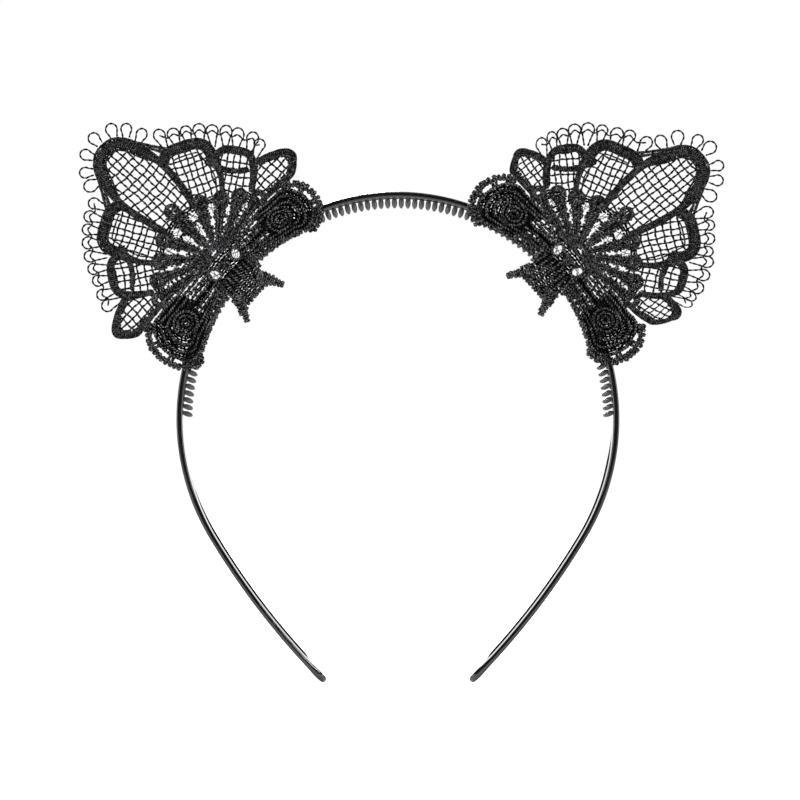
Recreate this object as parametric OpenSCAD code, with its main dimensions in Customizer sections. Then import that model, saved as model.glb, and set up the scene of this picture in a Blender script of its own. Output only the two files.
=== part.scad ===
// Animal ears headband: a toothed plastic band with two lace ears sewn to its front edge.
// Origin: centre of the crown arc, which is the middle of the space for the head.
// +Z is up through the crown, +X to the right as seen from the front, and the front faces -Y.
// Left and right are as seen from the front.

/* [Band] */
// Outer radius of the crown
crown_r = 62; // [56:0.5:70]
// Outer radius of the sides, just below the shoulders
side_r = 66.2; // [62.5:0.1:76]
// Outer radius of the nearly straight legs
leg_r = 215; // [160:5:400]
// Width of the band, front to back
band_w = 6; // [5:0.5:10]
// Thickness of the band
band_t = 1.8; // [1.6:0.1:2.4]

/* [Comb teeth] */
// Distance from the inner face of the band to the tip of a tooth
tooth_len = 2.9; // [2:0.1:3.5]
// Thickness of a tooth along the band
tooth_t = 1.3; // [0.9:0.1:1.3]
// Width of a tooth, front to back
tooth_w = 2.4; // [1.5:0.1:4]
// How far the lowest side teeth lean towards the tips of the legs, in degrees
tooth_lean = 20; // [0:1:24]
// Number of teeth on the crown piece
crown_teeth = 16; // [12:2:16]

/* [Ears] */
// Place of each ear's middle on the band, in degrees from the top
ear_place = 50.25; // [46:0.25:52]
// Direction of the left ear, in degrees from straight up
left_ear_angle = 46; // [44:1:54]
// Direction of the right ear, in degrees from straight up
right_ear_angle = 49; // [44:1:54]
// Thickness of the corded lace
lace_t = 1.6; // [1:0.1:2.2]
// Thickness of the net and of the edge loops
thread_t = 0.5; // [0.3:0.1:0.8]
// Distance between the threads of the net
net_pitch = 2.1; // [1.6:0.1:3]

/* [Hidden] */
$fn = 64;
LEFT = -1;
RIGHT = 1;

// Band layout: degrees from the top, measured at the centre of each arc
flex_angle = 15;       // where the crown piece meets a side piece
crown_end = 48.75;     // end of the crown arc
side_end = 121;        // end of the side arc
leg_end = 135;         // end of the leg arc
flex_gap = 0.05;       // degrees left free at the flex line
channel_start = 93;
channel_end = 133;
channel_w = 3.4;
channel_d = 0.1;
edge_r = 0.6;          // rounding of the band's long edges
side_centre = [0, 0] + (crown_r - side_r) * [sin(crown_end), cos(crown_end)];
leg_centre = side_centre + (side_r - leg_r) * [sin(side_end), cos(side_end)];

// Comb layout
crown_pitch = 2 * flex_angle / crown_teeth;
shoulder_teeth = 18;   // side piece, on the crown arc
side_teeth = 23;       // side piece, on the side arc
shoulder_pitch = (crown_end - flex_angle) / shoulder_teeth;
side_pitch = shoulder_pitch * (crown_r - 3) / (side_r - 3);
tooth_root = 0.3;      // depth of a tooth's root in the band

// Lace layout, in each ear's own frame: v along the base towards the crown, u out to the tip
ear_seat_r = 59;       // distance from the crown's centre to the ear frame's origin
fold_u = 9.4;          // height of the line where the ear bends
fold_gap = 0.35;       // free space on each side of that line
lace_gap = 0.15;       // between the band's front edge and the lace
lace_y = -(band_w / 2 + lace_gap + lace_t / 2);
far = 200;             // longer than anything here

// Petals: [v, u, direction from +u, length, half width, base roundness, tip roundness].
// The first is the centre one; the others come in mirrored pairs, each partly under the one before.
petals = [
    [0, 8, 0, 45.9, 9, 0.9, 0.42],
    [0, 8, 28, 34.6, 8.8, 0.9, 0.3],
    [0, 8, 55.5, 32.8, 7.2, 0.9, 0.32],
    [8, 14.4, 88, 27.4, 5.2, 0.6, 0.55]
];
// Width of each petal's rim, at the sides and at the tip
rim_w = [2.3, 2, 1.7, 1.6];
tip_w = [4, 2.8, 2.2, 3];

// Fan: a half disc with slots between its spokes, and a longer spoke in the middle
fan_u = 8;
fan_r = 15.5;
spoke_step = 23;
spoke_pairs = 3;
head_r = 2.4;
eyelet_r = 0.55;
middle_spoke = [2.2, 20];    // half width and length
slot_w = 1.1;
slot_rows = [[5.2, 2.4], [9, 3.2], [13.2, 2.4]];    // distance from the focus, and length
seam = 0.3;            // overlap of a petal with the fan

// Edge loops: around the centre petal's tip, then along the side petals
picot_r = 1.9;
tip_picots = 3;        // on each side of the middle one
tip_picot_u = 44.3;
tip_picot_step = 24;
tip_picot_reach = [12.6, 0.5];
side_picots = 9;
side_picot_start = 20.5;
side_picot_step = 5.9;
side_picot_reach = [38.3, 0.5];
stem = 4;              // length of a side loop's two legs
hem_w = 0.5;           // thread that joins the side loops at half height

// ---------- band ----------

// Section of the band: x is the distance from the arc's centre, y is front to back.
module band_section(r) {
    hull()
        for (x = [r - band_t + edge_r, r - edge_r], y = [-1, 1] * (band_w / 2 - edge_r))
            translate([x, y]) circle(r = edge_r, $fn = 24);
}

// Turns a section about an axis along Y, from one angle to another, measured from the top.
module arc_sweep(centre, from, to) {
    translate([centre.x, 0, centre.y]) rotate([90, 0, 0])
        rotate_extrude(angle = to - from, start = 90 - to, $fn = 180) children();
}

module channel_section(r) {
    translate([r - band_t - 1, -channel_w / 2]) square([1 + channel_d, channel_w]);
}

module leg_tip_shape() {
    tip_centre = leg_centre + (leg_r - band_t / 2) * [sin(leg_end), cos(leg_end)];
    translate([tip_centre.x, 0, tip_centre.y]) rotate([0, leg_end, 0])
        union() {
            translate([-band_w / 2, 0, 0]) cylinder(d = band_w, h = 4 * band_t, center = true);
            translate([-band_w / 2 - far / 2, 0, 0]) cube([far, band_w, 12 * band_t], center = true);
        }
}

// The right-hand side piece; the left one is its mirror image.
module side_band() {
    difference() {
        union() {
            arc_sweep([0, 0], flex_angle + flex_gap, crown_end) band_section(crown_r);
            arc_sweep(side_centre, crown_end, side_end) band_section(side_r);
            intersection() {
                arc_sweep(leg_centre, side_end, leg_end) band_section(leg_r);
                leg_tip_shape();
            }
        }
        arc_sweep(side_centre, channel_start, side_end) channel_section(side_r);
        arc_sweep(leg_centre, side_end, channel_end) channel_section(leg_r);
    }
}

module crown_band() {
    color([0.03, 0.03, 0.03])
        arc_sweep([0, 0], -flex_angle, flex_angle) band_section(crown_r);
}

module left_band() {
    color([0.03, 0.03, 0.03]) mirror([1, 0, 0]) side_band();
}

module right_band() {
    color([0.03, 0.03, 0.03]) side_band();
}

// ---------- comb ----------

// One leaf-shaped tooth at an angle on an arc of the band; it leans about its root.
module tooth(centre, r, angle, lean = 0) {
    half = (tooth_len + tooth_root) / 2;
    bow = (half * half + tooth_t * tooth_t / 4) / tooth_t;
    translate([centre.x, 0, centre.y]) rotate([0, angle, 0])
        translate([0, tooth_w / 2, r - band_t + tooth_root]) rotate([0, -lean, 0])
            translate([0, 0, -half]) rotate([90, 0, 0]) linear_extrude(tooth_w)
                intersection_for(side = [-1, 1])
                    translate([side * (bow - tooth_t / 2), 0]) circle(r = bow, $fn = 96);
}

module crown_comb() {
    color([0.04, 0.04, 0.04])
        for (i = [0 : crown_teeth - 1])
            tooth([0, 0], crown_r, -flex_angle + (i + 0.5) * crown_pitch);
}

module side_comb() {
    for (i = [0 : shoulder_teeth - 1])
        tooth([0, 0], crown_r, flex_angle + (i + 0.5) * shoulder_pitch);
    for (i = [0 : side_teeth - 1])
        tooth(side_centre, side_r, crown_end + (i + 0.5) * side_pitch,
            tooth_lean * i / (side_teeth - 1));
}

module left_comb() {
    color([0.04, 0.04, 0.04]) mirror([1, 0, 0]) side_comb();
}

module right_comb() {
    color([0.04, 0.04, 0.04]) side_comb();
}

// ---------- lace ----------

// Puts a flat drawing in an ear's own frame into the plane of the lace, with a thickness.
module lace_plate(side, thickness) {
    turn = side == LEFT ? left_ear_angle : right_ear_angle;
    translate([0, lace_y + thickness / 2, 0]) rotate([90, 0, 0]) linear_extrude(thickness)
        mirror([side == LEFT ? 0 : 1, 0]) ear_turn(turn) children();
}

module ear_turn(turn) {
    translate(ear_seat_r * [-sin(ear_place), cos(ear_place)]) rotate(turn) children();
}

// Half width of a petal at s, from 0 at its base to 1 at its tip, as a share of the widest.
function petal_share(s, base, tip) =
    let (widest = base / (base + tip))
    pow(s / widest, base) * pow((1 - s) / (1 - widest), tip);

function petal_outline(length, half, base, tip, steps = 16) = [
    for (i = [0 : steps]) let (s = (1 - cos(180 * i / steps)) / 2)
        [half * petal_share(s, base, tip), length * s],
    for (i = [steps - 1 : -1 : 1]) let (s = (1 - cos(180 * i / steps)) / 2)
        [-half * petal_share(s, base, tip), length * s]
];

module both_halves() {
    children();
    mirror([1, 0]) children();
}

module above_fold() {
    translate([-far / 2, fold_u + fold_gap]) square([far, far]);
}

module petal_place(k) {
    translate([petals[k][0], petals[k][1]]) rotate(-petals[k][2]) children();
}

// Petal k, less a margin along its sides and another at its tip.
module petal(k, side_margin = 0, tip_margin = 0) {
    p = petals[k];
    petal_place(k) polygon(petal_outline(p[3] - tip_margin, p[4] - side_margin, p[5], p[6]));
}

// What lies over petal k: the petals before it and the fan.
module covers(k) {
    translate([0, fan_u]) circle(r = fan_r - seam, $fn = 96);
    if (k > 0) petal(0);
    if (k > 1) both_halves() for (j = [1 : k - 1]) petal(j);
}

module petal_rim(k) {
    intersection() {
        difference() {
            petal(k);
            petal(k, rim_w[k], tip_w[k]);
            covers(k);
        }
        above_fold();
    }
}

module rims_drawing(k) {
    if (k == 0) petal_rim(k);
    else both_halves() petal_rim(k);
}

// A square net inside petal k's rim, square to the petal's axis.
module net_panel(k) {
    p = petals[k];
    rows = floor(p[3] / net_pitch);
    columns = floor(p[4] / net_pitch);
    difference() {
        intersection() {
            petal(k, rim_w[k] - seam, tip_w[k] - seam);
            petal_place(k) union() {
                for (i = [1 : rows])
                    translate([0, i * net_pitch]) square([2 * p[4], thread_t], center = true);
                for (i = [-columns : columns])
                    translate([i * net_pitch, p[3] / 2]) square([thread_t, p[3]], center = true);
            }
        }
        covers(k);
    }
}

module net_drawing() {
    net_panel(0);
    both_halves() for (k = [1 : len(petals) - 1]) net_panel(k);
}

module fan_drawing() {
    intersection() {
        translate([0, fan_u]) difference() {
            union() {
                circle(r = fan_r, $fn = 96);
                polygon(petal_outline(middle_spoke[1], middle_spoke[0], 0.9, 0.3));
                for (i = [-spoke_pairs : spoke_pairs])
                    rotate(i * spoke_step) translate([0, fan_r]) circle(r = head_r, $fn = 32);
            }
            for (i = [-spoke_pairs : spoke_pairs])
                rotate(i * spoke_step) translate([0, fan_r]) circle(r = eyelet_r, $fn = 24);
            for (i = [-spoke_pairs - 1 : spoke_pairs], row = slot_rows)
                rotate((i + 0.5) * spoke_step) translate([0, row[0]])
                    square([slot_w, row[1]], center = true);
        }
        above_fold();
    }
}

// A loop on two legs, standing out along +u from its own centre.
module loop(legs) {
    difference() {
        union() {
            circle(r = picot_r, $fn = 32);
            translate([-picot_r, -legs]) square([2 * picot_r, legs]);
        }
        circle(r = picot_r - thread_t, $fn = 32);
        translate([thread_t - picot_r, -legs - 1]) square([2 * (picot_r - thread_t), legs + 1]);
    }
}

module picots_drawing() {
    difference() {
        for (i = [-tip_picots : tip_picots])
            translate([0, tip_picot_u]) rotate(i * tip_picot_step)
                translate([0, tip_picot_reach[0] - tip_picot_reach[1] * abs(i)]) loop(picot_r);
        petal(0, seam, seam);
    }
    side_end_angle = side_picot_start + (side_picots - 1) * side_picot_step;
    both_halves() difference() {
        translate([0, fan_u]) union() {
            for (i = [0 : side_picots - 1])
                rotate(-side_picot_start - i * side_picot_step)
                    translate([0, side_picot_reach[0] - side_picot_reach[1] * i]) loop(stem);
            intersection() {
                difference() {
                    circle(r = side_picot_reach[0] - 2, $fn = 96);
                    circle(r = side_picot_reach[0] - 2 - hem_w, $fn = 96);
                }
                polygon([
                    [0, 0], far * [sin(side_picot_start), cos(side_picot_start)],
                    far * [sin(side_end_angle), cos(side_end_angle)]
                ]);
            }
        }
        for (k = [0 : len(petals) - 1]) petal(k, seam, seam);
    }
}

// ---------- lace base, which is sewn to the band ----------

scroll_end_v = 32.5;   // outer end of a scroll, from the ear's middle
scroll_in_v = 7;       // inner end of a scroll
scroll_r = 14;         // rounding of a scroll's end
scroll_u = -4.5;       // height of that rounding's centre
base_in_r = 56.6;      // inner edge of the base, from the crown's centre
knurl_r = 1.7;         // bumps along the rounded end
knurl_angles = [-62 : 19 : 70];
row_slits = [60.4, 63.6, 66.8];    // slits between the rows of cord, from the crown's centre
row_slit_w = 0.5;
row_slit_span = [8.5, 21];         // from and to, in degrees about the crown's centre
hole_r = 0.7;
hole_angles = [-10, 9, 28];

// The strip between the fold line and the comb, drawn in an ear's own frame.
module base_strip(turn) {
    difference() {
        translate([-far / 2, -far / 2]) square([far, far / 2 + fold_u - fold_gap]);
        rotate(-turn) translate(-ear_seat_r * [-sin(ear_place), cos(ear_place)])
            circle(r = base_in_r, $fn = 180);
    }
}

// Slits that follow the band, about the point where the crown's centre would be with no lean.
module slits() {
    translate([0, -ear_seat_r]) for (r = row_slits)
        intersection() {
            difference() {
                circle(r = r + row_slit_w / 2, $fn = 180);
                circle(r = r - row_slit_w / 2, $fn = 180);
            }
            polygon([
                [0, 0], far * [sin(row_slit_span[0]), cos(row_slit_span[0])],
                far * [sin(row_slit_span[1]), cos(row_slit_span[1])]
            ]);
        }
}

module scroll_drawing(turn, towards_crown) {
    flip = [towards_crown ? 0 : 1, 0];
    mirror(flip) difference() {
        intersection() {
            translate([scroll_in_v, -far / 2]) square([far, far]);
            mirror(flip) base_strip(turn);
            union() {
                translate([scroll_end_v - scroll_r, scroll_u]) {
                    circle(r = scroll_r, $fn = 96);
                    for (a = knurl_angles)
                        rotate(a) translate([scroll_r, 0]) circle(r = knurl_r, $fn = 32);
                    translate([-far, -far / 2]) square([far, far]);
                }
            }
        }
        slits();
        translate([scroll_end_v - scroll_r, scroll_u]) for (a = hole_angles)
            rotate(a) translate([scroll_r - knurl_r, 0]) circle(r = hole_r, $fn = 24);
    }
}

knot_half = 5.7;       // half width of the knot's trunk
knot_low = -7;         // lower edge of the trunk
knot_dip_r = 8.8;      // hollow in that edge
horn_tip = [7.5, -11.2];
step_u = -1;           // where the knot narrows to its trunk
knot_side = [
    [scroll_in_v + seam, fold_u - fold_gap], [scroll_in_v + seam, step_u], [knot_half, step_u],
    [knot_half, knot_low + 4], horn_tip + [0.6, 0.9], horn_tip - [0.3, 0.3]
];
leaf_hole = [3.9, 4.9];
leaf_hole_r = 1.7;
leaf_hole_bend = 2.2;  // radius of the two arcs that bound a leaf hole
slit_u = 7.2;
slit_size = [5.4, 0.7];

module leaf_cut() {
    bow = sqrt(leaf_hole_bend * leaf_hole_bend - leaf_hole_r * leaf_hole_r);
    intersection_for(side = [-1, 1])
        translate([side * bow, 0]) circle(r = leaf_hole_bend, $fn = 48);
}

module knot_drawing() {
    difference() {
        polygon(concat(knot_side, [for (i = [len(knot_side) - 1 : -1 : 0])
            [-knot_side[i].x, knot_side[i].y]]));
        translate([0, knot_low - knot_dip_r]) circle(r = knot_dip_r, $fn = 96);
        both_halves() translate(leaf_hole) rotate(-35) leaf_cut();
        translate([0, slit_u]) square(slit_size, center = true);
    }
}

// ---------- sewing thread ----------

stitch_t = 0.4;
stitch_fit = 0.05;     // slack between the thread and what it holds
shoulder_stitches = [4, 8, 12, 16];   // which gap between teeth, on the crown arc
side_stitches = [3, 7, 11, 15];       // which gap between teeth, on the side arc

module stitch(centre, r, angle) {
    back = band_w / 2 + stitch_fit;
    front = -(band_w / 2 + lace_gap + lace_t + stitch_fit);
    low = r - band_t - stitch_fit;
    high = r + stitch_fit;
    translate([centre.x, 0, centre.y]) rotate([0, angle, 0]) difference() {
        translate([-stitch_t / 2, front - stitch_t, low - stitch_t])
            cube([stitch_t, back - front + 2 * stitch_t, high - low + 2 * stitch_t]);
        translate([-stitch_t, front, low]) cube([2 * stitch_t, back - front, high - low]);
    }
}

module stitching() {
    for (k = shoulder_stitches) stitch([0, 0], crown_r, flex_angle + k * shoulder_pitch);
    for (k = side_stitches) stitch(side_centre, side_r, crown_end + k * side_pitch);
}

// ---------- one node for each piece ----------

module in_black() {
    color([0.06, 0.06, 0.065]) children();
}

module stitching_of(side) {
    in_black() mirror([side == LEFT ? 1 : 0, 0, 0]) stitching();
}

module scroll_of(side, towards_crown) {
    turn = side == LEFT ? left_ear_angle : right_ear_angle;
    in_black() lace_plate(side, lace_t) scroll_drawing(turn, towards_crown);
}

module knot_of(side) {
    in_black() lace_plate(side, lace_t) knot_drawing();
}

module rims_of(side, k) {
    in_black() lace_plate(side, lace_t) rims_drawing(k);
}

module net_of(side) {
    in_black() lace_plate(side, thread_t) net_drawing();
}

module fan_of(side) {
    in_black() lace_plate(side, lace_t) fan_drawing();
}

module picots_of(side) {
    in_black() lace_plate(side, thread_t) picots_drawing();
}

crown_band();
crown_comb();
left_band();
left_comb();
right_band();
right_comb();
stitching_of(LEFT);  // left_stitching
scroll_of(LEFT, true);  // left_scroll_inner
scroll_of(LEFT, false);  // left_scroll_outer
knot_of(LEFT);  // left_knot
rims_of(LEFT, 0);  // left_centre_rim
rims_of(LEFT, 1);  // left_upper_rims
rims_of(LEFT, 2);  // left_middle_rims
rims_of(LEFT, 3);  // left_leaf_rims
net_of(LEFT);  // left_net
fan_of(LEFT);  // left_fan
picots_of(LEFT);  // left_picots
stitching_of(RIGHT);  // right_stitching
scroll_of(RIGHT, true);  // right_scroll_inner
scroll_of(RIGHT, false);  // right_scroll_outer
knot_of(RIGHT);  // right_knot
rims_of(RIGHT, 0);  // right_centre_rim
rims_of(RIGHT, 1);  // right_upper_rims
rims_of(RIGHT, 2);  // right_middle_rims
rims_of(RIGHT, 3);  // right_leaf_rims
net_of(RIGHT);  // right_net
fan_of(RIGHT);  // right_fan
picots_of(RIGHT);  // right_picots
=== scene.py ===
# Animal ears headband: a glossy comb band and two pointed lace ears sewn to its front edge.
# The lace is drawn in each ear's own flat frame, in millimetres: v runs along the base towards
# the crown, u runs out to the ear's tip, and h stands out of the lace towards the front.
import math
import bmesh
import bpy
import numpy as np
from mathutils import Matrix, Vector


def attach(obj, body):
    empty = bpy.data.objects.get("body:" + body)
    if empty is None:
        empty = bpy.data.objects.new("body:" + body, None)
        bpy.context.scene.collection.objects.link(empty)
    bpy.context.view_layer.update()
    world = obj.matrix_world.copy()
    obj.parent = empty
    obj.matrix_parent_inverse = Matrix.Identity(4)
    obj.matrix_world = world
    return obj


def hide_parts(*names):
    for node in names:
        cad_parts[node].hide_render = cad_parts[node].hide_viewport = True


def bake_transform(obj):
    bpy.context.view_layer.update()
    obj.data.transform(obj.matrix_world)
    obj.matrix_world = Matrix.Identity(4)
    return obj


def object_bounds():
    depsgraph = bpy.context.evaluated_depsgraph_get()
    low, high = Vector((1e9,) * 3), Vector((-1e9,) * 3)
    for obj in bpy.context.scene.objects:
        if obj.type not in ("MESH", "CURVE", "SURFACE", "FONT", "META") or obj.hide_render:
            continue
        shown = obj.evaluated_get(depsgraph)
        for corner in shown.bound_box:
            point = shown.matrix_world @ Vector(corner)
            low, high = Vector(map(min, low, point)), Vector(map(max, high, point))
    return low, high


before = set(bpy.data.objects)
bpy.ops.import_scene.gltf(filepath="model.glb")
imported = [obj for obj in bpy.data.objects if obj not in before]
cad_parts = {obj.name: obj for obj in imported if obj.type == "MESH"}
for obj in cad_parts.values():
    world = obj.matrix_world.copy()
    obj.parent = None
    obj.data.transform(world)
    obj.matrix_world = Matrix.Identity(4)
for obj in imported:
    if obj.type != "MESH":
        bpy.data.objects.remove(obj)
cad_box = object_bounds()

MM = 0.001
SIDES = {"left": -1, "right": 1}

# ---------- the design's own sizes, as the frame has them ----------

CROWN_R, SIDE_R, LEG_R = 62.0, 66.2, 215.0     # outer radius of each arc of the band
FLEX, CROWN_END, SIDE_END, LEG_END = 15.0, 48.75, 121.0, 135.0   # degrees from the top
BAND_W, BAND_T = 6.0, 1.8
# The band's section: radius of its edges, how far the outer face falls from its middle to its
# sides, and how much less it has fallen where an edge begins
EDGE_R, OUTER_CROWN, OUTER_DIP = 0.6, 0.14, 0.04
# The leg tips: radius of the end, and how much thicker it swells, how far from the tip and over
# what length; the last one stands for a place far from any tip
TIP_R, TIP_BULB, BULB_FROM_TIP, BULB_LEN, FAR_FROM_TIP = 1.1, 0.16, 3.4, 2.6, 100.0
# The inner face of each leg leans to the front and has a lip along its back edge: slope and
# height, where the lip stands, the angle where this starts and the degrees it grows over, its end
INNER_LEAN, BACK_LIP, LIP_Y, LIP_OVER = 0.045, 0.27, 1.6, 0.35
LEAN_FROM = {"left": (104.0, 16.0), "right": (93.0, 8.0)}
LEAN_TO, LEAN_FADE = 133.0, 0.6
CROWN_TEETH, SHOULDER_TEETH, SIDE_TEETH = 16, 18, 23
PITCH = (CROWN_END - FLEX) / SHOULDER_TEETH    # degrees from tooth to tooth on the crown arc
SIDE_PITCH = PITCH * (CROWN_R - 3) / (SIDE_R - 3)
TOOTH_LEN, TOOTH_ROOT, TOOTH_T, TOOTH_W = 2.9, 0.3, 1.58, 2.4
TOOTH_LEAN = 20.0                              # of the lowest side teeth, in degrees

EAR_PLACE, EAR_SEAT = 50.25, 59.0              # where an ear's frame stands on the band
EAR_TURN = {"left": 46.0, "right": 49.0}
EAR_LEAN = {"left": (0.0, 0.0), "right": (1.8, 0.047)}  # shift at the base, and lean with height
# How far the tip of each leaf petal is drawn along v and u, on the leg side and the crown side
LEAF_DRAW = {"left": {-1: (0, 0), 1: (0, 0)}, "right": {-1: (2.9, 3.2), 1: (-2.2, 0.8)}}
LACE_Y = -3.95                                 # middle of the lace, front to back
FOLD_U = 9.4                                   # the line where an ear bends
FOCUS = np.array([0.0, 8.0])                   # where the fan's spokes meet
FAN_R, FAN_MORE = 16.6, 5.0                    # its radius, and how much more it is at its sides

# The petals that start at the focus: direction from +u, length, half width, and roundness of the
# base and the tip
PETALS = [(0, 45.9, 9.0, 0.9, 0.42), (28, 34.6, 8.8, 0.9, 0.30), (55.5, 31.6, 7.2, 0.9, 0.32)]
# The fourth, a leaf, has an outline of its own
LEAF = [(12, 12.8), (17, 11.2), (22, 10.5), (27, 10.1), (30.6, 9.9), (31.6, 10.2), (33.4, 11.5),
        (34.8, 12.9), (34.6, 13.9), (32.8, 15.3), (30.0, 16.9), (26, 18.1), (21, 18.2), (16, 17.1),
        (12, 15.6)]
# Rims: width at the sides, width at the tip, and from where to where along the petal it changes
RIMS = [(1.8, 4.0, 0.66, 0.84), (1.25, 3.3, 0.58, 0.85), (1.2, 2.1, 0.60, 0.85),
        (1.2, 1.6, 0.5, 0.9)]

# Stitches: pitch from one to the next, how deep the grooves are, how far each one slants, how
# uneven they are, and the segments round the bar
FINE = dict(pitch=0.5, segments=8, depth=0.3)
CLOSE = dict(pitch=0.55, segments=8, depth=0.3)
ROUND = dict(pitch=0.55, depth=0.3)
LOOSE = dict(pitch=0.85, depth=0.4, ragged=0.1, skew=0.4)
SPOKE = dict(pitch=0.75, depth=0.2, skew=0.5)


# ---------- materials ----------

def fill(tree, node, wires=None, **values):
    """Wires some of a node's inputs from other nodes' outputs and sets others to numbers or
    colours; underscores stand for the spaces in a socket's name."""
    for name, source in (wires or {}).items():
        tree.links.new(source, node.inputs[name])
    for name, value in values.items():
        node.inputs[name.replace("_", " ")].default_value = value
    return node


def add_node(tree, kind, wires=None, **values):
    return fill(tree, tree.nodes.new("ShaderNode" + kind), wires, **values)


def new_material(name):
    mat = bpy.data.materials.new(name)
    mat.use_nodes = True
    return mat, mat.node_tree, mat.node_tree.nodes["Principled BSDF"]


def noise(tree, scale, detail, stretch=None):
    """Noise in the object's own coordinates, stretched along an axis if asked."""
    place = add_node(tree, "TexCoord").outputs["Object"]
    if stretch:
        place = add_node(tree, "Mapping", {"Vector": place}, Scale=stretch).outputs["Vector"]
    return add_node(tree, "TexNoise", {"Vector": place}, Scale=scale, Detail=detail).outputs["Fac"]


def ramp(tree, source, low, high, low_at=0.3, high_at=0.7):
    """Turns a factor into a colour or grey between low and high."""
    node = add_node(tree, "ValToRGB", {"Fac": source})
    first, second = node.color_ramp.elements
    first.position, first.color = low_at, low
    second.position, second.color = high_at, high
    return node.outputs["Color"]


def bump(tree, source, strength, distance, below=None):
    """A relief of the source, on top of the one below if there is one."""
    wires = {"Height": source, "Normal": below} if below else {"Height": source}
    return add_node(tree, "Bump", wires, Strength=strength, Distance=distance).outputs["Normal"]


def grey(value, tint=0.0):
    """A grey, a little bluer by tint."""
    return (value, value, value * (1 + tint), 1)


def plastic_material(name, roughness, base):
    """Moulded black plastic: flow marks, fine scratches and dull patches from handling."""
    mat, tree, bsdf = new_material(name)
    flow = ramp(tree, noise(tree, 60, 3), grey(base * 0.7), grey(base * 1.4))
    dull = ramp(tree, noise(tree, 180, 5), grey(roughness * 0.75), grey(roughness * 1.5))
    scratches = bump(tree, noise(tree, 900, 4, (0.15, 2.5, 0.15)), 0.04, 0.0001)
    skin = bump(tree, noise(tree, 420, 2), 0.02, 0.0003, scratches)
    fill(tree, bsdf, {"Base Color": flow, "Roughness": dull, "Normal": skin}, IOR=1.5,
         Specular_IOR_Level=0.9, Coat_Weight=0.3, Coat_Roughness=0.06)
    return mat


def thread_material(name, dark, light, roughness, fibre_scale):
    """Black thread whose colour is painted light: painted shade in the grooves, painted highlights on
    the strands' crests, painted glints from noise specks, and fine fibres.
    """
    mat, tree, bsdf = new_material(name)
    # Noise specks that lighten the base colour: painted glints on the strands.
    painted_glints = ramp(tree, noise(tree, 1900, 4), grey(0.1), grey(1), 0.38, 0.60)
    # The point attribute read here holds the painted highlight on thread crests and the painted shade
    # in grooves and on cord sides.
    crest = add_node(tree, "Attribute")
    crest.attribute_name = "crest"
    painted_light = add_node(tree, "Math", {0: crest.outputs["Fac"], 1: painted_glints})
    painted_light.operation = "MULTIPLY"
    painted_light = painted_light.outputs["Value"]
    # The base colour is this painted light, from the dark grey of painted shade to the light grey of
    # painted highlights.
    colour = ramp(tree, painted_light, grey(dark, 0.04), grey(light, 0.06), 0.16, 0.95)
    rough = ramp(tree, painted_light, grey(roughness * 2), grey(roughness), 0.1, 0.6)
    fibres = bump(tree, noise(tree, fibre_scale, 6), 0.6, 0.0002)
    fill(tree, bsdf, {"Base Color": colour, "Roughness": rough, "Normal": fibres}, IOR=1.5,
         Specular_IOR_Level=0.10)
    return mat


MATERIALS = {
    "band": plastic_material("gloss_black_plastic", 0.07, 0.009),
    # The comb is the band's black plastic with a base colour several times lighter: painted light for
    # the teeth's lit look.
    "comb": plastic_material("comb_plastic_painted_lighter", 0.30, 0.06),
    # Each thread's dark and light greys are its painted shade and its painted highlight.
    "satin": thread_material("satin_stitch_thread", 0.0005, 0.27, 0.26, 3200),
    "rim": thread_material("padded_rim_thread", 0.0005, 0.17, 0.28, 3200),
    "net": thread_material("net_ply_thread", 0.001, 0.12, 0.32, 4200),
    "sewing": thread_material("sewing_thread", 0.001, 0.10, 0.34, 4200),
}


# ---------- meshes made of swept rings ----------

class Rings:
    """Collects closed tubes, each a stack of rings, into one mesh."""

    def __init__(self):
        self.points, self.faces, self.crests, self.count = [], [], [], 0

    def tube(self, rings, first, last, crest=0.5):
        """rings is (n, m, 3); first and last are the points that close the two ends.
        The last argument is the painted light on each point, from 0 to 1: 0 paints the shade in its
        thread's grooves, 1 a highlight where the point stands farthest out of them."""
        n, m = rings.shape[:2]
        start = self.count
        self.points += [rings.reshape(-1, 3), np.array([first, last])]
        self.crests += [np.broadcast_to(crest, (n, m)).ravel(), np.zeros(2)]
        index = start + np.arange(n * m).reshape(n, m)
        after = np.roll(index, -1, axis=1)
        quads = np.stack([index[:-1], after[:-1], after[1:], index[1:]], axis=-1)
        self.faces += quads.reshape(-1, 4).tolist()
        low, high = start + n * m, start + n * m + 1
        self.faces += [(low, b, a) for a, b in zip(index[0], after[0])]
        self.faces += [(high, a, b) for a, b in zip(index[-1], after[-1])]
        self.count += n * m + 2

    def add_mirrored(self, other):
        """Adds the other's tubes, mirrored from one side of the band to the other."""
        self.points += [p * np.array([-1, 1, 1]) for p in other.points]
        self.crests += other.crests
        self.faces += [tuple(i + self.count for i in face) for face in other.faces]
        self.count += other.count

    def mesh(self, name, place):
        """The mesh, with its points put in the frame by place() and its faces turned outwards."""
        mesh = bpy.data.meshes.new(name)
        mesh.from_pydata(place(np.concatenate(self.points)).tolist(), [], self.faces)
        shape = bmesh.new()
        shape.from_mesh(mesh)
        bmesh.ops.recalc_face_normals(shape, faces=shape.faces)
        shape.to_mesh(mesh)
        shape.free()
        # The painted highlights and groove shade are kept as a point attribute that the thread
        # materials turn into colour.
        crest = mesh.attributes.new("crest", "FLOAT", "POINT")
        crest.data.foreach_set("value", np.concatenate(self.crests))
        mesh.update()
        return mesh


def piece(name, rings, place, material, node):
    """One finished piece in the scene, which stands for a CAD node."""
    mesh = rings.mesh(name, place)
    mesh.shade_smooth()
    mesh.materials.append(MATERIALS[material])
    obj = bpy.data.objects.new(name, mesh)
    bpy.context.scene.collection.objects.link(obj)
    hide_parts(node)
    return obj


# ---------- small sums ----------

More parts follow.
